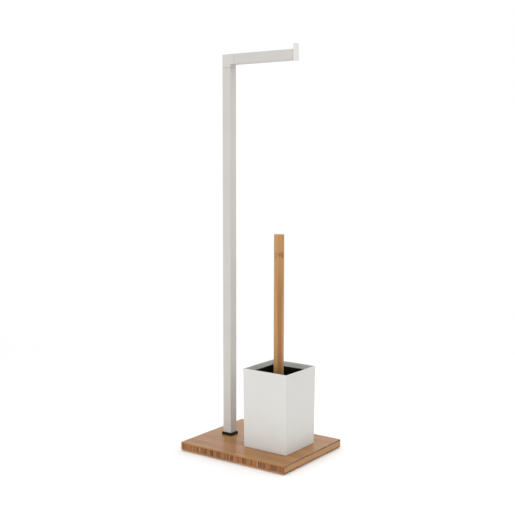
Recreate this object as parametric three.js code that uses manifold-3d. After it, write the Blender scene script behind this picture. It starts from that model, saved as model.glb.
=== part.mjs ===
// Free-standing toilet brush holder. A bamboo board carries a white square post, which turns through
// a corner elbow into a short side arm, and a white square cup with a black liner and a brush in it.
// Millimetres, +Z up, +X along the arm, +Y to the back. The origin is on the floor, under the
// middle of the board.

import * as THREE from 'three';
import { mergeVertices } from 'three/addons/utils/BufferGeometryUtils.js';
import Module from 'manifold-3d';

const wasm = await Module();
wasm.setup();

// Clearances
const seamGap = 0.3; // between pieces that touch along a seam, a seat or a hole's wall
const plugClearance = 0.3; // each side, between a plug and the inside of its tube
const linerClearance = 0.5; // each side, between the liner and the cup
const cutOverrun = 1; // how far a cut runs past the face that it opens

// Board and its feet
const boardWidth = 251;
const boardDepth = 204;
const boardThickness = 16;
const boardCornerRadius = 1.2;
const boardEdgeRadius = 1;
const footDiameter = 20;
const footHeight = 2;
const footInset = 20; // from each edge of the board to the middle of a foot

// Square tube of the post and the arm
const tubeSide = 20;
const tubeWall = 1.2;
const tubeCornerRadius = 1.5;
const armTopHeight = 790; // from the floor to the top of the arm
const postInset = 46; // from the board's left edge to the post's axis
const armReach = 157.6; // from the post's axis to the open end of the arm

// Corner elbow
const elbowPostLeg = 6; // how far the elbow reaches down past its inside corner
const elbowArmLeg = 8.5; // and along the arm
const elbowStubLength = 28;
const elbowStubWall = 2.4;

// Stop at the arm's end
const stopSetback = 1.2; // each side, behind the faces of the arm
const stopThickness = 1.8;
const stopRise = 11.3; // above the arm
const stopDrop = 1; // below the arm
const stopCornerRadius = 2.5;
const stopPlugLength = 16;
const stopPlugWall = 2.4;

// Foot plug under the post
const collarMargin = 2.5; // how far the collar stands out around the post
const collarHeight = 5;
const collarCornerRadius = 2.5;
const plugLength = 26; // above the collar, inside the post

// Bolt, washer and nut that hold the post
const boltDiameter = 6;
const boltHeadAcross = 10; // across the flats, the same for the nut
const boltHeadHeight = 4;
const boltTip = 1.5; // past the nut
const nutHeight = 5;
const washerDiameter = 14;
const washerThickness = 1.4;
const counterboreRoom = 2; // around the washer
const boltHeadRecess = 1; // above the board's underside

// Cup
const cupMargin = 30.8; // from the board's right edge to the cup
const cupSide = 101; // at its foot
const cupFlare = 1.3; // how far each wall leans out on its way up to the rim
const cupHeight = 157.5;
const cupWall = 2;
const cupFloor = 3;
const cupCornerRadius = 2.5;

// Liner
const linerDrop = 10; // from the cup's rim down to the liner's rim
const linerWall = 1.2;
const linerFloor = 1.5;

// Screws through the cup's floor
const screwInset = 22; // from the cup's side to the middle of a screw
const screwDiameter = 4;
const screwHeadDiameter = 8;
const screwHeadHeight = 2.2;
const screwLength = 15;
const screwTip = 3;

// Brush, which stands a little off the cup's middle
const brushOffsetX = -1.3;
const brushOffsetY = -0.9;
const brushLength = 415.5;
const handleDiameter = 20;
const handleEdge = 0.6;
const bristleRoom = 9; // between the bristles and the liner's wall
const bristleHeight = 78;
const bristleDome = 14; // height of the rounded lower end
const coreDiameter = 22;
const coreInset = 12; // bristle below the core's lower end
const socketWall = 3.7;
const socketHeight = 26; // above the bristles
const socketDepth = 15;
const studDiameter = 6;
const studReach = 25; // into the head, and as far into the handle

// Levels and places that follow from the sizes
const boardTop = footHeight + boardThickness;
const armMiddle = armTopHeight - tubeSide / 2;
const tubeInside = tubeSide - 2 * tubeWall;
const tubeInsideRadius = Math.max(tubeCornerRadius - tubeWall, 0.2);
const elbowPostReach = tubeSide / 2 + elbowPostLeg;
const elbowArmReach = tubeSide / 2 + elbowArmLeg;
const plugSide = tubeInside - 2 * plugClearance;
const postX = postInset - boardWidth / 2;
const cupX = boardWidth / 2 - cupMargin - cupSide / 2;
const collarSide = tubeSide + 2 * collarMargin;
const postStart = boardTop + collarHeight + seamGap;
const postEnd = armMiddle - elbowPostReach - seamGap;
const armStart = postX + elbowArmReach + seamGap;
const armEnd = postX + armReach;
const cupLean = cupFlare / cupHeight; // of each wall, per millimetre of height
const screwSpread = cupSide - 2 * screwInset;
const counterboreDiameter = washerDiameter + 2 * counterboreRoom;
const counterboreDepth = boltHeadRecess + boltHeadHeight + washerThickness + 2 * seamGap;
const roundSteps = 40;

// Finishes
const bamboo = { color: 0xb98a5c, roughness: 0.42, metalness: 0 };
const whiteCoat = { color: 0xd8d5cf, roughness: 0.45, metalness: 0 };
const whitePlastic = { color: 0xdfdcd6, roughness: 0.5, metalness: 0 };
const blackPlastic = { color: 0x0f0e0d, roughness: 0.5, metalness: 0 };
const blackRubber = { color: 0x151413, roughness: 0.9, metalness: 0 };
const zincSteel = { color: 0xb4b6b8, roughness: 0.35, metalness: 1 };
const whiteNylon = { color: 0xe9e7e1, roughness: 0.6, metalness: 0 };

// Solids: shapes become manifold solids where they are joined or cut, and come back as geometry
function toSolid(geometry) {
  const bare = new THREE.BufferGeometry();
  bare.setAttribute('position', geometry.attributes.position);
  bare.setIndex(geometry.index);
  const merged = mergeVertices(bare);
  const vertProperties = Float32Array.from(merged.attributes.position.array);
  const triVerts = Uint32Array.from(merged.index.array);
  return new wasm.Manifold(new wasm.Mesh({ numProp: 3, vertProperties, triVerts }));
}

function toGeometry(solid) {
  const mesh = solid.getMesh();
  const geometry = new THREE.BufferGeometry();
  geometry.setAttribute('position', new THREE.BufferAttribute(mesh.vertProperties, 3));
  geometry.setIndex(new THREE.BufferAttribute(mesh.triVerts, 1));
  geometry.computeVertexNormals();
  return geometry;
}

function cut(body, ...tools) {
  return toGeometry(tools.reduce((left, tool) => left.subtract(toSolid(tool)), toSolid(body)));
}

function join(body, ...others) {
  return toGeometry(others.reduce((whole, other) => whole.add(toSolid(other)), toSolid(body)));
}

function common(body, other) {
  return toGeometry(toSolid(body).intersect(toSolid(other)));
}

// A rectangle with round corners, centred on the origin
function roundedRectangle(width, depth, radius) {
  const x = width / 2 - radius;
  const y = depth / 2 - radius;
  const shape = new THREE.Shape();
  shape.absarc(x, y, radius, 0, Math.PI / 2);
  shape.absarc(-x, y, radius, Math.PI / 2, Math.PI);
  shape.absarc(-x, -y, radius, Math.PI, Math.PI * 1.5);
  shape.absarc(x, -y, radius, Math.PI * 1.5, Math.PI * 2);
  shape.closePath();
  return shape;
}

// A bar of that section, standing on z = base
function bar(width, depth, radius, height, base = 0) {
  const section = roundedRectangle(width, depth, radius);
  const geometry = new THREE.ExtrudeGeometry(section, { depth: height, bevelEnabled: false, curveSegments: 4 });
  return geometry.translate(0, 0, base);
}

// A square bar whose walls lean out as they rise
function leaningBar(side, radius, height, lean, base = 0) {
  const geometry = bar(side, side, radius, height);
  const position = geometry.attributes.position;
  for (let i = 0; i < position.count; i += 1) {
    const spread = 1 + (2 * lean * position.getZ(i)) / side;
    position.setX(i, position.getX(i) * spread);
    position.setY(i, position.getY(i) * spread);
  }
  return geometry.translate(0, 0, base);
}

// A solid of revolution about Z from a profile of [radius, height] points, lowest first
function turned(profile, steps = roundSteps) {
  const points = profile.map(([radius, height]) => new THREE.Vector2(radius, height));
  return new THREE.LatheGeometry(points, steps).rotateX(Math.PI / 2);
}

function disc(diameter, height, base = 0, steps = roundSteps) {
  const radius = diameter / 2;
  return turned([[0, base], [radius, base], [radius, base + height], [0, base + height]], steps);
}

// A hexagonal bar of a width across its flats
function hexagon(across, height, base = 0) {
  return disc(across / Math.cos(Math.PI / 6), height, base, 6);
}

const model = new THREE.Group();

function place(parent, name, geometry, finish) {
  const mesh = new THREE.Mesh(geometry, new THREE.MeshStandardMaterial(finish));
  mesh.name = name;
  parent.add(mesh);
  return mesh;
}

function groupAt(parent, x, y, z) {
  const group = new THREE.Group();
  group.position.set(x, y, z);
  parent.add(group);
  return group;
}

// Board: rounded edges, a counterbored hole for the post's bolt and two pilot holes for the cup's screws
const screwTop = boardTop + cupFloor - seamGap;
const screwPilotDiameter = screwDiameter + 2 * seamGap;
const screwSides = [['left', -1], ['right', 1]];

function boardGeometry() {
  const flatWidth = boardWidth - 2 * boardEdgeRadius;
  const flatDepth = boardDepth - 2 * boardEdgeRadius;
  const flatRadius = boardCornerRadius - boardEdgeRadius;
  const slab = new THREE.ExtrudeGeometry(roundedRectangle(flatWidth, flatDepth, flatRadius), {
    depth: boardThickness - 2 * boardEdgeRadius,
    bevelThickness: boardEdgeRadius,
    bevelSize: boardEdgeRadius,
    bevelSegments: 2,
    curveSegments: 4,
  }).translate(0, 0, footHeight + boardEdgeRadius);
  const boltHole = disc(boltDiameter + 2 * seamGap, boardThickness + 2 * cutOverrun, footHeight - cutOverrun);
  const counterbore = disc(counterboreDiameter, counterboreDepth + cutOverrun, footHeight - cutOverrun);
  const pilotBottom = screwTop - screwLength - seamGap;
  const pilots = screwSides.map(([, side]) => (
    disc(screwPilotDiameter, boardTop + cutOverrun - pilotBottom, pilotBottom)
      .translate(cupX + (side * screwSpread) / 2, 0, 0)
  ));
  return cut(slab, boltHole.translate(postX, 0, 0), counterbore.translate(postX, 0, 0), ...pilots);
}

place(model, 'base_board', boardGeometry(), bamboo);

const footRows = [['front', -1], ['back', 1]];
const footSides = [['left', -1], ['right', 1]];
for (const [row, rowSign] of footRows) {
  for (const [side, sideSign] of footSides) {
    const foot = place(model, `foot_${row}_${side}`, disc(footDiameter, footHeight), blackRubber);
    foot.position.x = sideSign * (boardWidth / 2 - footInset);
    foot.position.y = rowSign * (boardDepth / 2 - footInset);
  }
}

// Post: the foot plug and its nut, the bolt and washer from below, and the tube
const post = groupAt(model, postX, 0, 0);
const plugTop = boardTop + collarHeight + plugLength;
const nutPocketDepth = nutHeight + 2 * seamGap;
const nutBase = plugTop - nutPocketDepth + seamGap;
const washerBase = footHeight + counterboreDepth - seamGap - washerThickness;
const boltHeadTop = washerBase - seamGap;
const boltHole = boltDiameter + 2 * seamGap;

function footPlugGeometry() {
  const collar = bar(collarSide, collarSide, collarCornerRadius, collarHeight, boardTop);
  const body = bar(plugSide, plugSide, tubeInsideRadius, plugTop - boardTop - seamGap, boardTop + seamGap);
  const bore = disc(boltHole, plugTop - boardTop + 2 * cutOverrun, boardTop - cutOverrun);
  const pocket = hexagon(boltHeadAcross + 2 * seamGap, nutPocketDepth + cutOverrun, plugTop - nutPocketDepth);
  return cut(join(collar, body), bore, pocket);
}

function tubeGeometry(length, base = 0) {
  const outside = bar(tubeSide, tubeSide, tubeCornerRadius, length, base);
  const inside = bar(tubeInside, tubeInside, tubeInsideRadius, length + 2 * cutOverrun, base - cutOverrun);
  return cut(outside, inside);
}

const boltHead = hexagon(boltHeadAcross, boltHeadHeight, boltHeadTop - boltHeadHeight);
const boltEnd = nutBase + nutHeight + boltTip;
const boltShank = disc(boltDiameter, boltEnd - boltHeadTop + boltHeadHeight / 2, boltHeadTop - boltHeadHeight / 2);
place(post, 'post_foot_plug', footPlugGeometry(), blackPlastic);
place(post, 'post_bolt', join(boltHead, boltShank), zincSteel);
const washerDisc = disc(washerDiameter, washerThickness, washerBase);
const washerHole = disc(boltHole, washerThickness + 2 * cutOverrun, washerBase - cutOverrun);
place(post, 'post_washer', cut(washerDisc, washerHole), zincSteel);
const nutHole = disc(boltHole, nutHeight + 2 * cutOverrun, nutBase - cutOverrun);
place(post, 'post_nut', cut(hexagon(boltHeadAcross, nutHeight, nutBase), nutHole), zincSteel);
place(post, 'post_tube', tubeGeometry(postEnd - postStart, postStart), whiteCoat);

// A hollow plug that fits in a tube, closed at its base and open at its end
function plugGeometry(length, wall) {
  const hollowSide = plugSide - 2 * wall;
  const hollowBase = wall;
  const body = bar(plugSide, plugSide, tubeInsideRadius, length);
  return cut(body, bar(hollowSide, hollowSide, tubeInsideRadius, length - hollowBase + cutOverrun, hollowBase));
}

// Elbow: the corner of two crossing bars, one leg down and one along the arm, a stub in each tube
function elbowGeometry() {
  const alongArm = (geometry) => geometry.rotateY(Math.PI / 2);
  const down = (geometry) => geometry.rotateX(Math.PI);
  const wholeBar = () => bar(tubeSide, tubeSide, tubeCornerRadius, tubeSide, -tubeSide / 2);
  const leg = (reach) => bar(tubeSide, tubeSide, tubeCornerRadius, reach);
  const stub = (reach) => plugGeometry(elbowStubLength, elbowStubWall).translate(0, 0, reach - seamGap);
  const corner = common(wholeBar(), alongArm(wholeBar()));
  const postSide = [down(leg(elbowPostReach)), down(stub(elbowPostReach))];
  const armSide = [alongArm(leg(elbowArmReach)), alongArm(stub(elbowArmReach))];
  return join(corner, ...postSide, ...armSide);
}

const elbow = groupAt(model, postX, 0, armMiddle);
place(elbow, 'corner_elbow', elbowGeometry(), whitePlastic);

// Arm: the tube lies along X, and the stop closes its end
const arm = groupAt(model, armStart, 0, armMiddle);
arm.rotation.y = Math.PI / 2;
place(arm, 'arm_tube', tubeGeometry(armEnd - armStart), whiteCoat);

function stopGeometry() {
  const plateHeight = stopRise + tubeSide + stopDrop;
  const plate = bar(plateHeight, tubeSide - 2 * stopSetback, stopCornerRadius, stopThickness);
  plate.translate(-(stopRise - stopDrop) / 2, 0, 0);
  const plug = plugGeometry(stopPlugLength, stopPlugWall).rotateX(Math.PI).translate(0, 0, stopThickness / 2);
  return join(plate, plug);
}

const stop = place(arm, 'arm_end_stop', stopGeometry(), whitePlastic);
stop.position.z = armEnd - armStart + seamGap;

// Cup with its floor screwed to the board
const cupStand = groupAt(model, cupX, 0, boardTop);

function cupSideAt(height) {
  return cupSide + 2 * cupLean * height;
}

function cupGeometry() {
  const outside = leaningBar(cupSide, cupCornerRadius, cupHeight, cupLean);
  const insideSide = cupSideAt(cupFloor) - 2 * cupWall;
  const insideHeight = cupHeight - cupFloor + cutOverrun;
  const inside = leaningBar(insideSide, cupCornerRadius - cupWall, insideHeight, cupLean, cupFloor);
  const headRadius = screwHeadDiameter / 2 + seamGap;
  const holeRadius = screwPilotDiameter / 2;
  const sink = [
    [0, -cutOverrun],
    [holeRadius, -cutOverrun],
    [holeRadius, cupFloor - screwHeadHeight - seamGap],
    [headRadius, cupFloor - seamGap],
    [headRadius, cupFloor + cutOverrun],
    [0, cupFloor + cutOverrun],
  ];
  const holes = screwSides.map(([, side]) => turned(sink).translate((side * screwSpread) / 2, 0, 0));
  return cut(outside, inside, ...holes);
}

place(cupStand, 'cup', cupGeometry(), whitePlastic);

const screwProfile = [
  [0, -screwLength],
  [screwDiameter / 2, -screwLength + screwTip],
  [screwDiameter / 2, -screwHeadHeight],
  [screwHeadDiameter / 2, 0],
  [0, 0],
];
for (const [side, sign] of screwSides) {
  const screw = place(cupStand, `cup_screw_${side}`, turned(screwProfile, 24), zincSteel);
  screw.position.set((sign * screwSpread) / 2, 0, screwTop - boardTop);
}

// Liner: the same lean as the cup, clear of its walls and floor
const linerBase = cupFloor + seamGap;
const linerSide = cupSideAt(linerBase) - 2 * (cupWall + linerClearance);
const linerInside = linerSide + 2 * cupLean * linerFloor - 2 * linerWall; // at its floor

function linerGeometry() {
  const height = cupHeight - linerDrop - linerBase;
  const radius = Math.max(cupCornerRadius - cupWall - linerClearance, 0.5);
  const outside = leaningBar(linerSide, radius, height, cupLean);
  const insideRadius = Math.max(radius - linerWall, 0.4);
  const insideHeight = height - linerFloor + cutOverrun;
  return cut(outside, leaningBar(linerInside, insideRadius, insideHeight, cupLean, linerFloor));
}

const liner = place(cupStand, 'liner', linerGeometry(), blackPlastic);
liner.position.z = linerBase;

// Brush: it stands on its bristles on the liner's floor
const brush = groupAt(cupStand, brushOffsetX, brushOffsetY, linerBase + linerFloor + seamGap);
const coreBase = coreInset + seamGap;
const coreRadius = coreDiameter / 2;
const socketBoreRadius = handleDiameter / 2 + seamGap;
const socketRadius = socketBoreRadius + socketWall;
const socketTop = bristleHeight + socketHeight;
const handleBase = socketTop - socketDepth + seamGap;
const studHoleRadius = studDiameter / 2 + seamGap;
const studMiddle = socketTop - socketDepth;

const bristleRadius = linerInside / 2 - bristleRoom;
const bristleCurve = new THREE.EllipseCurve(0, bristleDome, bristleRadius, bristleDome, -Math.PI / 2, 0);
const bristleProfile = bristleCurve.getPoints(8).map((point) => [Math.max(point.x, 0), point.y]);
bristleProfile[0] = [0, 0];
bristleProfile.push(
  [bristleRadius, bristleHeight],
  [coreRadius + seamGap, bristleHeight],
  [coreRadius + seamGap, coreInset],
  [0, coreInset],
);
place(brush, 'bristles', turned(bristleProfile), whiteNylon);

place(brush, 'brush_head', turned([
  [0, coreBase],
  [coreRadius, coreBase],
  [coreRadius, bristleHeight + seamGap],
  [socketRadius, bristleHeight + seamGap],
  [socketRadius, socketTop],
  [socketBoreRadius, socketTop],
  [socketBoreRadius, studMiddle],
  [studHoleRadius, studMiddle],
  [studHoleRadius, studMiddle - studReach - seamGap],
  [0, studMiddle - studReach - seamGap],
]), blackPlastic);

place(brush, 'handle_stud', disc(studDiameter, 2 * studReach, studMiddle - studReach, 24), zincSteel);

place(brush, 'brush_handle', turned([
  [0, studMiddle + studReach + seamGap],
  [studHoleRadius, studMiddle + studReach + seamGap],
  [studHoleRadius, handleBase],
  [handleDiameter / 2, handleBase],
  [handleDiameter / 2, brushLength - handleEdge],
  [handleDiameter / 2 - handleEdge, brushLength],
  [0, brushLength],
]), bamboo);

export default model;
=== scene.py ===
# A free-standing toilet brush holder: a white post with a side arm, a white cup and a bamboo brush.
import math
import random

import bmesh
import bpy
from mathutils import Matrix, Vector


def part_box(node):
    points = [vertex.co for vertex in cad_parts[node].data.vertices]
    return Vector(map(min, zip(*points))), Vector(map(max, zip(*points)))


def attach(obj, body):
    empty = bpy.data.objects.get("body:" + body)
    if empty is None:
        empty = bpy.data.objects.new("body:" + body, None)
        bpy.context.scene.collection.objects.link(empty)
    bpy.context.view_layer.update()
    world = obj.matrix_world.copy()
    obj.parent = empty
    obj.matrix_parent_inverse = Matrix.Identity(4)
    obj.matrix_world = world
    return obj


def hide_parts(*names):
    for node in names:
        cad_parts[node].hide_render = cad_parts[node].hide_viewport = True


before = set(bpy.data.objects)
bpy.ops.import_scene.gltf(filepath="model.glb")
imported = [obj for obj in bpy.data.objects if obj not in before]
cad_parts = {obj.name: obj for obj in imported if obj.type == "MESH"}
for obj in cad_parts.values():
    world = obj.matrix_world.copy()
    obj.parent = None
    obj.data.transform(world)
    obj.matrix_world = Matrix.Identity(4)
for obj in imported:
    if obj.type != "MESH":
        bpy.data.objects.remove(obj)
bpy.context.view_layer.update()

mm = 0.001
scene = bpy.context.scene
print("frame loaded:", len(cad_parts), "nodes")


# camera and light

view = {
    "place": (1.0392, -1.4538, 0.5830),
    "turn": 35.81,  # degrees to the left of straight back
    "tilt": 6.15,  # degrees below level
    "roll": 0.075,
    "lens": 63.47,
    "sensor": 36.0,
}

studio = {
    "wall": 1.0,  # brightness of the white wall all round
    "ceiling": 0.45,
    "ground": 0.90,  # what the floor gives back to the object
    "wallTop": (0.50, 0.80),  # sines of the heights between which the wall turns into the ceiling
    "wallFoot": (-0.30, -0.17),
    "floorTone": 0.95,
    "floorSize": 8.0,
    "floorFade": (0.4, 1.6),  # metres from the middle over which the floor melts into the wall
    "key": {"from": (-0.7, -3.4, 0.40), "size": 1.8, "watts": 20.0},
    "fill": {"from": (2.4, 0.4, 1.5), "size": 1.4, "watts": 6.0},
    "back": {"from": (0.2, 3.0, 2.4), "size": 2.4, "watts": 16.0},
    "top": {"from": (0.0, -0.3, 5.0), "size": 4.0, "watts": 105.0},
    "aim": (0.0, 0.0, 0.36),
}


def addCamera():
    camera = bpy.data.objects.new("camera", bpy.data.cameras.new("camera"))
    scene.collection.objects.link(camera)
    camera.data.lens = view["lens"]
    camera.data.sensor_width = view["sensor"]
    camera.data.clip_end = 100
    turn = Matrix.Rotation(math.radians(view["turn"]), 4, "Z")
    tilt = Matrix.Rotation(math.radians(90 - view["tilt"]), 4, "X")
    roll = Matrix.Rotation(math.radians(view["roll"]), 4, "Z")
    camera.matrix_world = Matrix.Translation(view["place"]) @ turn @ tilt @ roll
    scene.camera = camera


def addSoftbox(name):
    box = studio[name]
    light = bpy.data.lights.new(name, "AREA")
    light.energy = box["watts"]
    light.shape = "SQUARE"
    light.size = box["size"]
    lamp = bpy.data.objects.new(name, light)
    scene.collection.objects.link(lamp)
    lamp.location = box["from"]
    lamp.rotation_euler = (Vector(studio["aim"]) - lamp.location).to_track_quat("-Z", "Y").to_euler()


def addWorld():  # a white wall all round that runs into a softer ceiling
    world = bpy.data.worlds.new("studio")
    scene.world = world
    world.use_nodes = True
    background = world.node_tree.nodes["Background"]
    coordinates = world.node_tree.nodes.new("ShaderNodeTexCoord")
    height = Wire(world.node_tree, coordinates.outputs["Generated"]).axes()[2]
    wall, ceiling, ground = (3 * (studio[part],) + (1,) for part in ("wall", "ceiling", "ground"))
    upper = height.rise(*studio["wallTop"]).blend(wall, ceiling)
    light = height.rise(*studio["wallFoot"]).blend(ground, upper)
    world.node_tree.links.new(light.socket, background.inputs["Color"])


def addFloor():
    bm = bmesh.new()
    bmesh.ops.create_grid(bm, x_segments=1, y_segments=1, size=studio["floorSize"] / 2)
    mesh = bpy.data.meshes.new("floor")
    bm.to_mesh(mesh)
    bm.free()
    floor = bpy.data.objects.new("floor", mesh)
    scene.collection.objects.link(floor)
    finish, shader, place = newFinish("floorPaint")
    grey = studio["floorTone"]
    shader.inputs["Base Color"].default_value = (grey, grey, grey, 1)
    shader.inputs["Roughness"].default_value = 0.8
    shader.inputs["Specular IOR Level"].default_value = 0.1
    away = place.node("VectorMath", {"operation": "LENGTH"}, {0: place}, 1)
    feed(shader, "Alpha", 1 - away.rise(*studio["floorFade"]))
    mesh.materials.append(finish)
    floor.visible_diffuse = False  # the ground tone stands in for its bounce
    floor.visible_shadow = False


def addStudio():
    addWorld()
    addFloor()
    for name in ("key", "fill", "back", "top"):
        addSoftbox(name)
    scene.view_settings.view_transform = "Standard"


# shader nodes

class Wire:
    # a node's output that can be calculated with
    def __init__(self, tree, socket):
        self.tree = tree
        self.socket = socket

    def node(self, kind, settings, values, output=0):
        made = self.tree.nodes.new("ShaderNode" + kind)
        for name, value in settings.items():
            setattr(made, name, value)
        for name, value in values.items():
            if isinstance(value, Wire):
                self.tree.links.new(value.socket, made.inputs[name])
            else:
                made.inputs[name].default_value = value
        return Wire(self.tree, made.outputs[output])

    def math(self, operation, *others):
        values = dict(enumerate((self, *others)))
        return self.node("Math", {"operation": operation}, values)

    def __add__(self, other):
        return self.math("ADD", other)

    __radd__ = __add__

    def __sub__(self, other):
        return self.math("SUBTRACT", other)

    def __rsub__(self, other):
        return self.node("Math", {"operation": "SUBTRACT"}, {0: other, 1: self})

    def __mul__(self, other):
        return self.math("MULTIPLY", other)

    __rmul__ = __mul__

    def __truediv__(self, other):
        return self.math("DIVIDE", other)

    def absolute(self):
        return self.math("ABSOLUTE")

    def floor(self):
        return self.math("FLOOR")

    def fraction(self):
        return self.math("FRACT")

    def least(self, other):
        return self.math("MINIMUM", other)

    def most(self, other):
        return self.math("MAXIMUM", other)

    def rise(self, low, high):  # 0 below low, 1 above high, smooth between
        settings = {"interpolation_type": "SMOOTHSTEP"}
        return self.node("MapRange", settings, {"Value": self, "From Min": low, "From Max": high})

    def axes(self):
        return [self.node("SeparateXYZ", {}, {"Vector": self}, axis) for axis in range(3)]

    def stretched(self, x, y, z):  # a vector's parts times x, y and z
        settings = {"operation": "MULTIPLY"}
        return self.node("VectorMath", settings, {0: self, 1: (x, y, z)})

    def moved(self, shift):
        return self.node("VectorMath", {"operation": "ADD"}, {0: self, 1: shift})

    def noise(self, scale=1.0, detail=2.0, roughness=0.5):
        values = {"Vector": self, "Scale": scale, "Detail": detail, "Roughness": roughness}
        return self.node("TexNoise", {}, values)

    def blend(self, first, second):  # colours, with this wire as the factor
        return self.node("Mix", {"data_type": "RGBA"}, {0: self, 6: first, 7: second}, 2)

    def bump(self, strength, distance):
        return self.node("Bump", {}, {"Height": self, "Strength": strength, "Distance": distance})


def newFinish(name):
    finish = bpy.data.materials.new(name)
    finish.use_nodes = True
    tree = finish.node_tree
    shader = tree.nodes["Principled BSDF"]
    coordinates = tree.nodes.new("ShaderNodeTexCoord")
    return finish, shader, Wire(tree, coordinates.outputs["Object"])


def feed(shader, name, wire):
    shader.id_data.links.new(wire.socket, shader.inputs[name])


def tone(code):  # a colour from its sRGB hex code, as Blender's linear values
    parts = [int(code[i:i + 2], 16) / 255 for i in (0, 2, 4)]
    return (*(part / 12.92 if part < 0.04045 else ((part + 0.055) / 1.055) ** 2.4 for part in parts), 1)


def joinParts(place, x, y, z):  # one vector wire from three numbers or wires
    return place.node("CombineXYZ", {}, {0: x, 1: y, 2: z})


# mesh helpers

alike = 0.95  # the least cosine between two directions that count as one


def rimsOf(faces):
    return [edge for face in faces for edge in face.edges]


def bevelEdges(bm, edges, radius, segments):
    bmesh.ops.bevel(bm, geom=edges, offset=radius, offset_type="OFFSET", segments=segments, profile=0.5,
                    affect="EDGES", material=-1, clamp_overlap=True)


def edgesAlong(bm, axis):  # the edges parallel to one axis
    return [edge for edge in bm.edges
            if abs((edge.verts[0].co - edge.verts[1].co).normalized()[axis]) > alike]


def facesToward(bm, direction):
    bm.normal_update()
    return [face for face in bm.faces if face.normal.dot(Vector(direction)) > alike]


def block(low, high):
    bm = bmesh.new()
    bmesh.ops.create_cube(bm, size=1)
    bmesh.ops.scale(bm, vec=Vector(high) - Vector(low), verts=bm.verts)
    bmesh.ops.translate(bm, vec=(Vector(high) + Vector(low)) / 2, verts=bm.verts)
    return bm


def extrudeFaces(bm, faces, shift):  # gives back the moved corners
    made = bmesh.ops.extrude_face_region(bm, geom=[*faces, *set(rimsOf(faces))])["geom"]
    corners = [item for item in made if isinstance(item, bmesh.types.BMVert)]
    bmesh.ops.translate(bm, vec=shift, verts=corners)
    return corners


def insetFaces(bm, faces, width):
    bmesh.ops.inset_region(bm, faces=faces, thickness=width, use_even_offset=True, use_boundary=True)


def scaleAbout(bm, corners, centre, factor):
    bmesh.ops.scale(bm, vec=(factor, factor, 1), verts=corners, space=Matrix.Translation(-Vector(centre)))


def turned(profile, centre, steps=64):  # a profile of (radius, height) points, spun about an upright axis
    bm = bmesh.new()
    points = [bm.verts.new((radius, 0, height)) for radius, height in profile]
    edges = [bm.edges.new(pair) for pair in zip(points, points[1:])]
    bmesh.ops.spin(bm, geom=points + edges, cent=(0, 0, 0), axis=(0, 0, 1), angle=math.tau, steps=steps,
                   use_merge=True, use_duplicate=False)
    bmesh.ops.remove_doubles(bm, verts=bm.verts, dist=1e-6)
    bmesh.ops.translate(bm, vec=(centre[0], centre[1], 0), verts=bm.verts)
    bmesh.ops.recalc_face_normals(bm, faces=bm.faces)
    return bm


def roundedEnd(radius, top, roll, steps=4):  # profile points round an outer top edge, from the side inwards
    angles = [math.pi / 2 * step / steps for step in range(steps + 1)]
    return [(radius - roll + roll * math.cos(a), top - roll + roll * math.sin(a)) for a in angles]


def addPiece(bm, name, finish, body, nodes, sharp=35):
    mesh = bpy.data.meshes.new(name)
    bm.to_mesh(mesh)
    bm.free()
    mesh.materials.append(finish)
    mesh.shade_smooth()
    mesh.set_sharp_from_angle(angle=math.radians(sharp))
    piece = bpy.data.objects.new(name, mesh)
    scene.collection.objects.link(piece)
    flat = piece.modifiers.new("flatSides", "WEIGHTED_NORMAL")
    flat.keep_sharp = True
    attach(piece, body)
    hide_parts(*nodes)
    print("made", name, len(mesh.polygons), "faces")
    return piece


def combine(bm, others, operation):  # joins closed bmeshes to bm, or cuts them out of it
    def temporary(source):
        mesh = bpy.data.meshes.new("temporary")
        source.to_mesh(mesh)
        source.free()
        made = bpy.data.objects.new("temporary", mesh)
        scene.collection.objects.link(made)
        return made

    body = temporary(bm)
    tools = [temporary(other) for other in others]
    for tool in tools:
        step = body.modifiers.new("step", "BOOLEAN")
        step.operation = operation
        step.solver = "EXACT"
        step.object = tool
    bpy.context.view_layer.update()
    result = bmesh.new()
    result.from_object(body, bpy.context.evaluated_depsgraph_get())
    for made in (body, *tools):
        bpy.data.meshes.remove(made.data)
    return result


def rod(diameter, low, high, centre, sides=48, tip=None):  # an upright cylinder or cone
    bm = bmesh.new()
    place = Matrix.Translation((centre[0], centre[1], (low + high) / 2))
    tip = diameter if tip is None else tip
    bmesh.ops.create_cone(bm, cap_ends=True, segments=sides, radius1=diameter / 2, radius2=tip / 2,
                          depth=high - low, matrix=place)
    return bm


# finishes

bambooTones = {
    "corePale": "b0814a",
    "coreMiddle": "a2703b",
    "endPale": "9c6433",
    "endDeep": "70421f",
    "endScorched": "2c1810",
    "endStraw": "c79b6c",
    "facePale": "ab783d",
    "faceMiddle": "8a5a2a",
    "faceEndPale": "8f6038",
    "faceEndDark": "3d2516",
    "dowelPale": "c39663",
    "dowelMiddle": "a87949",
    # painted shade: the dark band down the dowel
    "dowelPaintedShade": "94603a",
    "dowelJoint": "8a5534",
    "brown": "74482a",
    "burnt": "3a2418",
}


def bamboo(name):
    return tone(bambooTones[name])


def lacquer(shader, weight, roughness):  # a thin satin varnish over the wood
    shader.inputs["Specular IOR Level"].default_value = 0.2
    shader.inputs["Coat Weight"].default_value = weight
    shader.inputs["Coat Roughness"].default_value = roughness
    shader.inputs["Coat IOR"].default_value = 1.5


def chanceOf(place, number, seed):  # a chance from 0 to 1 for each whole number
    return place.node("TexWhiteNoise", {"noise_dimensions": "1D"}, {"W": number + seed})


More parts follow.
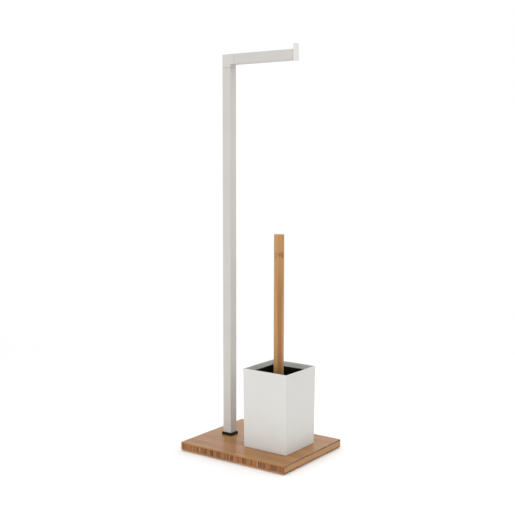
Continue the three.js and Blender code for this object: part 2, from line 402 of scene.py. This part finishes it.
def endStrips(place, across, up, strip):
    # the cut ends of upright strips: each is dense and dark along one side, some are burnt and a few pale
    wander = joinParts(place, across * 0.13, up * 0.008, 2.7).noise(1, 2, 0.5)
    shifted = across / strip + wander * 2.4
    index = shifted.floor()
    part = shifted.fraction()
    flip = chanceOf(place, index, 0.37).rise(0.49, 0.51)
    edgewise = part + flip * (1 - part * 2)
    depth = chanceOf(place, index, 5.81)
    ragged = joinParts(place, across * 1.6, up * 0.20, 8.1).noise(1, 3, 0.7)
    hair = joinParts(place, across * 4.2, up * 0.22, 1.3).noise(1, 2, 0.6)
    mixed = (depth * 0.45 + ragged * 0.4 + hair * 0.25).rise(0.25, 0.80)
    plain = mixed.blend(bamboo("endPale"), bamboo("endDeep"))
    dense = edgewise.rise(0.66, 0.95) * depth.rise(0.15, 0.6) * ragged.rise(0.28, 0.48)
    scorched = chanceOf(place, index, 9.13).rise(0.84, 0.85)
    burnt = scorched * ragged.rise(0.36, 0.46) * edgewise.rise(0.30, 0.45)
    dark = (dense * 0.7).most(burnt).blend(plain, bamboo("endScorched"))
    pale = chanceOf(place, index, 3.3).rise(0.965, 0.975) * edgewise.rise(0.3, 0.5)
    return (pale * 0.5).blend(dark, bamboo("endStraw"))


def boardFinish(low, high):
    ply = {"outer": 2.6, "coreStrip": 4.4, "faceStrip": 21.0, "endDepth": 0.35, "glue": 0.45}
    finish, shader, place = newFinish("bambooBoard")
    x, y, z = place.stretched(1000, 1000, 1000).axes()
    width, depth = 500 * (high.x - low.x), 500 * (high.y - low.y)
    middle = 500 * (high.z + low.z)
    coreHalf = 500 * (high.z - low.z) - ply["outer"]
    fromMiddle = (z - middle).absolute()
    outer = fromMiddle.rise(coreHalf - 0.06, coreHalf + 0.06)
    endX = x.absolute().rise(width - ply["endDepth"] - 0.1, width - ply["endDepth"])
    endY = y.absolute().rise(depth - ply["endDepth"] - 0.1, depth - ply["endDepth"])

    # core: strips on edge along Y, whose cut ends show at the front and back
    coreIndex = (x / ply["coreStrip"]).floor()
    coreFibre = joinParts(place, x * 1.3 + coreIndex * 3.1, y * 0.02, z * 0.9).noise(1, 4, 0.6)
    joint = joinParts(place, x * 0.02, y * 0.05, z * 0.10 + 6.0).noise(1, 3, 0.6).rise(0.58, 0.72)
    coreLong = coreFibre.rise(0.3, 0.7).blend(bamboo("corePale"), bamboo("coreMiddle"))
    coreLong = (joint * 0.55).blend(coreLong, bamboo("brown"))
    core = endY.blend(coreLong, endStrips(place, x, z, ply["coreStrip"]))

    # outer plies: flat strips along X, whose cut ends are a dark line at the sides
    faceIndex = (y / ply["faceStrip"] + 0.35).floor()
    faceChance = chanceOf(place, faceIndex, 1.7)
    faceFibre = joinParts(place, x * 0.014, y * 0.9, z * 0.9 + faceIndex * 5.7).noise(1, 4, 0.6)
    cloud = joinParts(place, x * 0.018, y * 0.05, faceIndex * 3.1).noise(1, 2, 0.5)
    faceTone = (faceFibre * 0.55 + cloud * 0.45 + (faceChance - 0.5) * 0.16).rise(0.28, 0.72)
    faceLong = faceTone.blend(bamboo("faceMiddle"), bamboo("facePale"))
    # one cane joint in most strips: a brown smudge across it
    jointAt = (chanceOf(place, faceIndex, 7.9) - 0.5) * 1.9 * width
    ragged = joinParts(place, x * 0.16, y * 0.28, 4.4).noise(1, 3, 0.6)
    smudge = (1 - (x - jointAt + (ragged - 0.5) * 14).absolute().rise(0.6, 5.0)) * ragged.rise(0.38, 0.6)
    smudge = smudge * chanceOf(place, faceIndex, 2.2).rise(0.3, 0.9) * 0.6
    faceLong = smudge.blend(faceLong, bamboo("brown"))
    endFleck = joinParts(place, x * 0.1, y * 0.045, z * 0.9).noise(1, 3, 0.6)
    faceEnd = endFleck.rise(0.36, 0.58).blend(bamboo("faceEndPale"), bamboo("faceEndDark"))
    face = endX.blend(faceLong, faceEnd)

    glue = 1 - (fromMiddle - coreHalf).absolute().rise(ply["glue"] * 0.4, ply["glue"])
    wood = outer.blend(core, face)
    feed(shader, "Base Color", (glue * endX.most(endY) * 0.45).blend(wood, bamboo("burnt")))
    feed(shader, "Roughness", faceFibre * 0.15 + 0.38)
    feed(shader, "Normal", (faceFibre * outer + coreFibre * (1 - outer)).bump(0.12, 0.0002))
    lacquer(shader, 0.45, 0.10)
    return finish


def handleFinish(low, high):
    # a dowel turned from glued strips, with painted shade: a dark band down one strip, deeper towards its
    # foot
    dowel = {"strip": 7.0, "turn": 35, "shift": 1.33, "jointBelow": 39.0}
    finish, shader, place = newFinish("bambooDowel")
    centre = (low + high) / 2
    x, y, z = place.moved((-centre.x, -centre.y, -high.z)).stretched(1000, 1000, 1000).axes()
    turn = math.radians(dowel["turn"])
    # across runs left to right as the camera sees the dowel, so the strips and the painted shade band keep
    # their place in the view
    across = x * math.cos(turn) + y * math.sin(turn)
    wander = joinParts(place, across * 0.05, y * 0.02, z * 0.012).noise(1, 2, 0.5)
    strip = across / dowel["strip"] + dowel["shift"] + (wander - 0.5) * 0.35
    index = strip.floor()
    fibre = joinParts(place, x * 1.1, y * 1.1, z * 0.016).noise(1, 4, 0.6)
    streak = joinParts(place, x * 0.22 + index * 3.7, y * 0.22, z * 0.006 + 4.2).noise(1, 2, 0.5)
    tones = (fibre * 0.55 + streak * 0.45).rise(0.28, 0.72)
    wood = tones.blend(bamboo("dowelMiddle"), bamboo("dowelPale"))
    # painted shade: the dowel's shaded side, a dark band down the strip just right of the middle as the
    # camera sees it, deeper towards the foot
    shadeBand = (1 - (strip - 1.5).absolute().rise(0.45, 0.70)) * (1 - z.rise(-140, -35))
    shadeBand = shadeBand * (fibre * 0.5 + 0.55)
    wood = (shadeBand * 0.8).least(1).blend(wood, bamboo("dowelPaintedShade"))
    # brown streaks along the grain, only towards the dowel's foot, so that it grows darker there
    lowerStreaks = joinParts(place, x * 0.9, y * 0.9, z * 0.11).noise(1, 3, 0.7).rise(0.60, 0.74)
    wood = (lowerStreaks * (1 - z.rise(-320, -150)) * 0.45).blend(wood, bamboo("brown"))
    # the joint of the cane: a brown smudge round the dowel, a little below its top
    ragged = joinParts(place, x * 0.25, y * 0.25, z * 0.08).noise(1, 3, 0.6)
    joint = (z + dowel["jointBelow"] + (ragged - 0.5) * 18).absolute()
    smudge = (1 - joint.rise(2.0, 7.5)) * ragged.rise(0.36, 0.56)
    # the cane joint is a real brown mark; making it heavier on the right half as the camera sees it is
    # painted shade
    wood = (smudge * (across.rise(-4, 2) * 0.5 + 0.3)).blend(wood, bamboo("dowelJoint"))
    feed(shader, "Base Color", wood)
    feed(shader, "Roughness", fibre * 0.15 + 0.36)
    feed(shader, "Normal", fibre.bump(0.10, 0.0002))
    lacquer(shader, 0.06, 0.3)
    return finish


def paintFinish(name, colour, roughness, grain, depth, shine=0.4):
    # one even colour whose gloss and surface vary by a hair, as powder coat and moulded plastic do
    finish, shader, place = newFinish(name)
    cloud = place.noise(14, 2, 0.5)
    peel = place.noise(grain, 2, 0.5)
    dark = tuple(part * 0.965 for part in tone(colour)[:3])
    feed(shader, "Base Color", cloud.rise(0.3, 0.7).blend(tone(colour), (*dark, 1)))
    feed(shader, "Roughness", peel * 0.08 + (roughness - 0.04))
    feed(shader, "Normal", peel.bump(0.15, depth))
    shader.inputs["Specular IOR Level"].default_value = shine
    return finish


def zincFinish():
    finish, shader, place = newFinish("zincSteel")
    cloud = place.noise(260, 3, 0.6)
    feed(shader, "Base Color", cloud.rise(0.3, 0.7).blend(tone("b9bcc0"), tone("c9c6b8")))
    feed(shader, "Roughness", cloud * 0.25 + 0.22)
    feed(shader, "Normal", place.noise(2400, 2, 0.5).bump(0.1, 0.00005))
    shader.inputs["Metallic"].default_value = 1
    return finish


# pieces

addCamera()
addStudio()
print("camera and studio ready")

whiteCoat = paintFinish("whitePowderCoat", "c7c4bf", 0.42, 1400, 0.00005)
elbowWhite = paintFinish("whiteElbow", "c9c8c4", 0.46, 900, 0.00004)
cupWhite = paintFinish("whiteCup", "d6d5d1", 0.44, 700, 0.00004)
stopWhite = paintFinish("whiteStop", "dfdeda", 0.44, 900, 0.00004)
blackPlastic = paintFinish("blackPlastic", "080707", 0.5, 1200, 0.00006, shine=0.25)
rubber = paintFinish("blackRubber", "1a1918", 0.85, 1800, 0.0001)
zinc = zincFinish()

seam = 0.3 * mm  # the gap that neighbours keep

board = {
    "corner": 1.4 * mm,
    "edge": 1.1 * mm,
    "boltHole": 6.6 * mm,
    "counterbore": 18 * mm,
    "pilot": 4.6 * mm,
}


def middleOf(node):
    low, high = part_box(node)
    return (low + high) / 2


def makeBoard():
    low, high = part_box("base_board")
    bm = block(low, high)
    bevelEdges(bm, edgesAlong(bm, 2), board["corner"], 5)
    bevelEdges(bm, rimsOf(facesToward(bm, (0, 0, 1)) + facesToward(bm, (0, 0, -1))), board["edge"], 4)
    bolt = middleOf("post_bolt")
    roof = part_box("post_washer")[1].z + seam
    cutters = [
        rod(board["counterbore"], low.z - mm, roof, bolt),
        rod(board["boltHole"], low.z - mm, high.z + mm, bolt),
    ]
    for screw in ("cup_screw_left", "cup_screw_right"):
        cutters.append(rod(board["pilot"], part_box(screw)[0].z - seam, high.z + mm, middleOf(screw), 24))
    bm = combine(bm, cutters, "DIFFERENCE")
    addPiece(bm, "bambooBoard", boardFinish(low, high), "stand", ["base_board"])


feet = {"edge": 0.6 * mm}


def makeFeet():
    for row in ("front", "back"):
        for side in ("left", "right"):
            node = f"foot_{row}_{side}"
            low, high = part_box(node)
            radius = (high.x - low.x) / 2
            upperEdge = roundedEnd(radius, high.z, feet["edge"])
            lowerEdge = [(out, low.z + high.z - height) for out, height in reversed(upperEdge)]
            profile = [(0, low.z), *lowerEdge, (radius, high.z), (0, high.z)]
            name = f"footPad{row.title()}{side.title()}"
            addPiece(turned(profile, middleOf(node), 48), name, rubber, "stand", [node])


tube = {"corner": 1.5 * mm, "wall": 1.2 * mm, "endEdge": 0.3 * mm}


def hollowBar(low, high, axis):
    bm = block(low, high)
    bevelEdges(bm, edgesAlong(bm, axis), tube["corner"], 5)
    ahead = Vector([1 if i == axis else 0 for i in range(3)])
    bevelEdges(bm, rimsOf(facesToward(bm, ahead) + facesToward(bm, -ahead)), tube["endEdge"], 2)
    ends = facesToward(bm, ahead) + facesToward(bm, -ahead)
    bmesh.ops.inset_individual(bm, faces=ends, thickness=tube["wall"] - tube["endEdge"], use_even_offset=True)
    rims = rimsOf(ends)
    bmesh.ops.delete(bm, geom=ends, context="FACES_ONLY")
    bmesh.ops.bridge_loops(bm, edges=rims)
    bmesh.ops.recalc_face_normals(bm, faces=bm.faces)
    return bm


plug = {"corner": 0.6 * mm, "wall": 2.4 * mm, "clearance": 0.3 * mm}
plugInset = tube["wall"] + plug["clearance"]


def openPlug(low, high, ahead, depth):  # a square plug for a tube, its mouth open towards ahead
    bm = block(low, high)
    axis = max(range(3), key=lambda i: abs(ahead[i]))
    bevelEdges(bm, edgesAlong(bm, axis), plug["corner"], 3)
    mouth = facesToward(bm, ahead)
    insetFaces(bm, mouth, plug["wall"])
    extrudeFaces(bm, mouth, Vector(ahead) * -depth)
    bmesh.ops.recalc_face_normals(bm, faces=bm.faces)
    return bm


def makeTubes():
    for node, name, axis in (("post_tube", "postTube", 2), ("arm_tube", "armTube", 0)):
        low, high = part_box(node)
        addPiece(hollowBar(low, high, axis), name, whiteCoat, "stand", [node])


footPlug = {
    "collar": 5 * mm,
    "corner": 2.5 * mm,
    "edge": 0.8 * mm,
    "bore": 6.6 * mm,
    "pocketAcross": 10.6 * mm,  # across the flats of the nut's pocket
    "pocketDepth": 5.6 * mm,
}


def makeFootPlug():
    low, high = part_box("post_foot_plug")
    collar = block(low, (high.x, high.y, low.z + footPlug["collar"]))
    bevelEdges(collar, edgesAlong(collar, 2), footPlug["corner"], 5)
    bevelEdges(collar, rimsOf(facesToward(collar, (0, 0, 1))), footPlug["edge"], 3)
    tubeLow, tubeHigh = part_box("post_tube")
    shankLow = (tubeLow.x + plugInset, tubeLow.y + plugInset, low.z + mm)
    shank = block(shankLow, (tubeHigh.x - plugInset, tubeHigh.y - plugInset, high.z))
    bevelEdges(shank, edgesAlong(shank, 2), plug["corner"], 3)
    bm = combine(collar, [shank], "UNION")
    centre = middleOf("post_bolt")
    pocketCorners = footPlug["pocketAcross"] / math.cos(math.pi / 6)
    pocket = rod(pocketCorners, high.z - footPlug["pocketDepth"], high.z + mm, centre, 6)
    bore = rod(footPlug["bore"], low.z - mm, high.z + mm, centre)
    bm = combine(bm, [bore, pocket], "DIFFERENCE")
    addPiece(bm, "footPlug", blackPlastic, "stand", ["post_foot_plug"])


elbow = {"corner": 1.5 * mm, "ridge": 0.6 * mm, "endEdge": 0.3 * mm}


def makeElbow():
    low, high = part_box("corner_elbow")
    side = high.y - low.y
    inner = Vector((low.x + side, 0, high.z - side))  # the inside corner
    armLow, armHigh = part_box("arm_tube")
    postLow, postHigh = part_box("post_tube")
    armEnd = armLow.x - seam
    postEnd = postHigh.z + seam
    outline = ((low.x, postEnd), (inner.x, postEnd), (inner.x, inner.z),
               (armEnd, inner.z), (armEnd, high.z), (low.x, high.z))
    bm = bmesh.new()
    profile = bm.faces.new([bm.verts.new((x, low.y, z)) for x, z in outline])
    extrudeFaces(bm, [profile], (0, side, 0))
    bmesh.ops.recalc_face_normals(bm, faces=bm.faces)

    def endRims():
        along = [face for face in facesToward(bm, (1, 0, 0)) if face.calc_center_median().x > inner.x + mm]
        down = [face for face in facesToward(bm, (0, 0, -1)) if face.calc_center_median().z < inner.z - mm]
        return rimsOf(along + down)

    kept = {*endRims(), *edgesAlong(bm, 1)}
    outer = [edge for edge in bm.edges if edge not in kept and edge.calc_face_angle_signed(0) > 0.5]
    bevelEdges(bm, outer, elbow["corner"], 5)
    ridge = [edge for edge in edgesAlong(bm, 1) if edge.calc_face_angle_signed(0) > 0.5
             and edge.verts[0].co.x < low.x + mm and edge.verts[0].co.z > high.z - mm]
    bevelEdges(bm, ridge, elbow["ridge"], 3)
    bevelEdges(bm, endRims(), elbow["endEdge"], 2)
    bmesh.ops.recalc_face_normals(bm, faces=bm.faces)
    stubLow = (inner.x - mm, armLow.y + plugInset, armLow.z + plugInset)
    stubHigh = (high.x, armHigh.y - plugInset, armHigh.z - plugInset)
    armStub = openPlug(stubLow, stubHigh, (1, 0, 0), high.x - armEnd - plug["wall"])
    stubLow = (postLow.x + plugInset, postLow.y + plugInset, low.z)
    stubHigh = (postHigh.x - plugInset, postHigh.y - plugInset, inner.z + mm)
    postStub = openPlug(stubLow, stubHigh, (0, 0, -1), postEnd - low.z - plug["wall"])
    for stub in (armStub, postStub):  # their roots stay inside the elbow's body
        mesh = bpy.data.meshes.new("stub")
        stub.to_mesh(mesh)
        stub.free()
        bm.from_mesh(mesh)
        bpy.data.meshes.remove(mesh)
    addPiece(bm, "cornerElbow", elbowWhite, "stand", ["corner_elbow"])


armStop = {"thickness": 1.8 * mm, "corner": 2.5 * mm, "edge": 0.5 * mm}


def makeArmStop():
    low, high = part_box("arm_end_stop")
    tubeLow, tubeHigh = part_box("arm_tube")
    inner = high.x - armStop["thickness"]
    plate = block((inner, low.y, low.z), high)
    bevelEdges(plate, edgesAlong(plate, 0), armStop["corner"], 5)
    bevelEdges(plate, rimsOf(facesToward(plate, (1, 0, 0))), armStop["edge"], 3)
    stubLow = (low.x, tubeLow.y + plugInset, tubeLow.z + plugInset)
    stubHigh = (inner + mm, tubeHigh.y - plugInset, tubeHigh.z - plugInset)
    stub = openPlug(stubLow, stubHigh, (-1, 0, 0), inner - low.x - plug["wall"])
    bm = combine(plate, [stub], "UNION")
    addPiece(bm, "armStop", stopWhite, "stand", ["arm_end_stop"])


cup = {
    "corner": 2.5 * mm,
    "wall": 2 * mm,
    "floor": 3 * mm,
    "lean": 1.3 / 157.5,  # how far a wall leans out, for its height
    "rim": 0.7 * mm,
    "foot": 0.7 * mm,
    "screwHole": 4.6 * mm,
    "screwHead": 8.6 * mm,
    "headDepth": 2.5 * mm,
}
liner = {
    "corner": 1.5 * mm,
    "wall": 1.2 * mm,
    "floor": 1.5 * mm,
    "lean": 1.3 / 157.5,
    "rim": 0.4 * mm,
    "foot": 0.5 * mm,
}


def openBox(node, sizes):  # a square bucket whose walls lean out a little
    low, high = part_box(node)
    centre = (low + high) / 2
    height = high.z - low.z
    flare = Vector((sizes["lean"] * height, sizes["lean"] * height, 0))
    bm = block(low + flare, high - flare)
    bevelEdges(bm, edgesAlong(bm, 2), sizes["corner"], 7)
    rimSide = high.x - low.x
    top = [corner for corner in bm.verts if corner.co.z > centre.z]
    scaleAbout(bm, top, centre, rimSide / (rimSide - 2 * flare.x))
    bevelEdges(bm, rimsOf(facesToward(bm, (0, 0, -1))), sizes["foot"], 3)
    mouth = facesToward(bm, (0, 0, 1))
    insetFaces(bm, mouth, sizes["wall"])
    drop = height - sizes["floor"]
    corners = extrudeFaces(bm, mouth, (0, 0, -drop))
    mouthSide = rimSide - 2 * sizes["wall"]
    scaleAbout(bm, corners, centre, (mouthSide - 2 * sizes["lean"] * drop) / mouthSide)
    rim = [edge for edge in bm.edges if min(corner.co.z for corner in edge.verts) > high.z - 1e-6
           and edge.calc_face_angle(0) > 1]
    bevelEdges(bm, rim, sizes["rim"], 3)
    bmesh.ops.recalc_face_normals(bm, faces=bm.faces)
    return bm


def makeCup():
    bm = openBox("cup", cup)
    cutters = []
    for screw in ("cup_screw_left", "cup_screw_right"):
        low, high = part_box(screw)
        centre = middleOf(screw)
        cutters.append(rod(cup["screwHole"], low.z, high.z + mm, centre, 24))
        seat = high.z - cup["headDepth"]
        cutters.append(rod(cup["screwHole"], seat, high.z + seam, centre, 32, cup["screwHead"]))
    bm = combine(bm, cutters, "DIFFERENCE")
    addPiece(bm, "cupShell", cupWhite, "stand", ["cup"])


def makeLiner():
    addPiece(openBox("liner", liner), "linerBucket", blackPlastic, "liner", ["liner"])


handle = {"roll": 0.8 * mm, "studHole": 6.6 * mm, "studReach": 25.3 * mm}


def makeHandle():
    low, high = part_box("brush_handle")
    radius = (high.x - low.x) / 2
    hole = handle["studHole"] / 2
    depth = low.z + handle["studReach"] - seam
    profile = [(0, depth), (hole, depth), (hole, low.z), (radius, low.z),
               *roundedEnd(radius, high.z, handle["roll"]), (0, high.z)]
    bm = turned(profile, middleOf("brush_handle"))
    addPiece(bm, "handleDowel", handleFinish(low, high), "brush", ["brush_handle"])


brush = {
    "core": 22 * mm,
    "coreEdge": 1 * mm,
    "studHole": 6.6 * mm,
    "studDepth": 25.3 * mm,
    "socketDepth": 15 * mm,
    "socketEdge": 1.2 * mm,
    "socketMouth": 0.4 * mm,
    "ribs": 3,
    "ribsFrom": 4 * mm,  # from the tuft to the first groove
    "ribsShort": 2 * mm,  # and how far short of the socket's top they stay
    "groove": 0.6 * mm,
    "grooveSlope": 0.5 * mm,
    "grooveWidth": 2 * mm,
    "dome": 14 * mm,  # height of the rounded lower end
    "sideRoom": 0.4 * mm,  # between the tufts' tips and the brush's outline
    "topRoom": 0.2 * mm,
    "firstRing": 3.2 * mm,
    "lastRing": 4 * mm,
    "ringStep": 4.7 * mm,
    "ringLean": (82, 26),  # degrees at the top, and how many more there are at the foot
    "sink": 0.5 * mm,  # how deep the tufts sit in the core
    "endSink": 0.8 * mm,
    "perRing": 17,
    "perTuft": 34,
    "thread": 0.44 * mm,  # across one bristle
    "tuftRadius": 1.35 * mm,
    "spread": 7.5,  # degrees
    # rings of tufts on the core's end: radius, number of tufts, degrees from straight up
    "endRings": ((9.8, 16, 112), (8.2, 13, 128), (5.2, 9, 148), (2.4, 5, 164)),
}


def makeBrushHead():
    low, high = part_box("brush_head")
    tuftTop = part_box("bristles")[1].z
    radius = (high.x - low.x) / 2
    core = brush["core"] / 2
    bore = (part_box("brush_handle")[1].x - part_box("brush_handle")[0].x) / 2 + seam
    stud = brush["studHole"] / 2
    seat = high.z - brush["socketDepth"]
    edge, mouth, slope = brush["socketEdge"], brush["socketMouth"], brush["grooveSlope"]
    profile = [(0, low.z), (core - brush["coreEdge"], low.z), (core, low.z + brush["coreEdge"]),
               (core, tuftTop + seam), (radius - edge, tuftTop + seam), (radius, tuftTop + seam + edge)]
    rib = (high.z - tuftTop - brush["ribsFrom"] - brush["ribsShort"]) / brush["ribs"]
    groove = radius - brush["groove"]
    for step in range(brush["ribs"]):
        base = tuftTop + brush["ribsFrom"] + step * rib
        top = base + brush["grooveWidth"]
        profile += [(radius, base), (groove, base + slope), (groove, top - slope), (radius, top)]
    profile += [*roundedEnd(radius, high.z, edge), (bore + mouth, high.z), (bore, high.z - mouth),
                (bore, seat), (stud, seat), (stud, seat - brush["studDepth"]), (0, seat - brush["studDepth"])]
    addPiece(turned(profile, middleOf("brush_head")), "brushSocket", blackPlastic, "brush", ["brush_head"])


def tuftMesh(chance, reach):  # a bundle of bristles that stands on the origin and points along Z
    bm = bmesh.new()
    for number in range(brush["perTuft"]):
        turn = number * 2.39996
        out = math.sqrt((number + 0.5) / brush["perTuft"])
        foot = Vector((math.cos(turn), math.sin(turn), 0)) * out * brush["tuftRadius"]
        lean = math.radians(brush["spread"]) * out * chance.uniform(0.7, 1.2)
        length = reach * chance.uniform(0.955, 1.0)
        tilt = Matrix.Rotation(turn, 4, "Z") @ Matrix.Rotation(lean, 4, "Y")
        place = Matrix.Translation(foot) @ tilt @ Matrix.Translation((0, 0, length / 2))
        bmesh.ops.create_cone(bm, cap_ends=True, segments=4, radius1=brush["thread"] / 2,
                              radius2=brush["thread"] / 2.4, depth=length, matrix=place)
    mesh = bpy.data.meshes.new("tuft")
    bm.to_mesh(mesh)
    bm.free()
    return mesh


def bristleFinish():
    finish, shader, place = newFinish("nylonBristle")
    cloud = place.noise(900, 2, 0.5)
    feed(shader, "Base Color", cloud.rise(0.3, 0.7).blend(tone("eceae4"), tone("dedbd2")))
    feed(shader, "Roughness", cloud * 0.15 + 0.3)
    return finish


def tuftReach(radius, height, lean, low, high):  # how far a tuft can go inside the brush's outline
    outer = (high.x - low.x) / 2 - brush["sideRoom"]
    step = 0.25 * mm
    reach = 0
    while True:
        out = radius + (reach + step) * math.sin(lean)
        up = height + (reach + step) * math.cos(lean)
        under = max(low.z + brush["dome"] - up, 0) / (brush["dome"] - brush["sideRoom"])
        if (out / outer) ** 2 + under ** 2 > 1 or out > outer or up > high.z - brush["topRoom"]:
            return reach
        reach += step


def tuftSeats(high):  # (radius, height, turn, lean) of each tuft: rings up the core, then rings on its end
    core = brush["core"] / 2
    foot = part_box("brush_head")[0].z
    rings = int((high.z - foot - brush["lastRing"]) / brush["ringStep"])
    level, more = brush["ringLean"]
    for ring in range(rings):
        height = high.z - brush["firstRing"] - ring * brush["ringStep"]
        nearEnd = 1 - (height - foot) / (high.z - foot)
        lean = math.radians(level + more * nearEnd ** 3)
        for place in range(brush["perRing"]):
            turn = math.tau * (place + ring % 2 / 2) / brush["perRing"]
            yield core - brush["sink"], height, turn, lean
    for ring, (radius, count, lean) in enumerate(brush["endRings"]):
        for place in range(count):
            turn = math.tau * (place + ring / 3) / count
            yield radius * mm, foot + brush["endSink"], turn, math.radians(lean)


def makeBristles():
    low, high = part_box("bristles")
    axis = middleOf("bristles")
    chance = random.Random(7)
    bm = bmesh.new()
    for radius, height, turn, lean in tuftSeats(high):
        tuft = tuftMesh(chance, tuftReach(radius, height, lean, low, high))
        tuft.transform(Matrix.Translation((axis.x, axis.y, height)) @ Matrix.Rotation(turn, 4, "Z")
                       @ Matrix.Translation((radius, 0, 0)) @ Matrix.Rotation(lean, 4, "Y"))
        bm.from_mesh(tuft)
        bpy.data.meshes.remove(tuft)
    addPiece(bm, "bristleTufts", bristleFinish(), "brush", ["bristles"], 60)


makeBoard()
makeFeet()
makeTubes()
makeFootPlug()
makeElbow()
makeArmStop()
makeCup()
makeLiner()
makeHandle()
makeBrushHead()
makeBristles()

for name in ("post_bolt", "post_washer", "post_nut", "cup_screw_left", "cup_screw_right", "handle_stud"):
    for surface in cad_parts[name].material_slots:
        surface.material = zinc
print("fasteners finished")
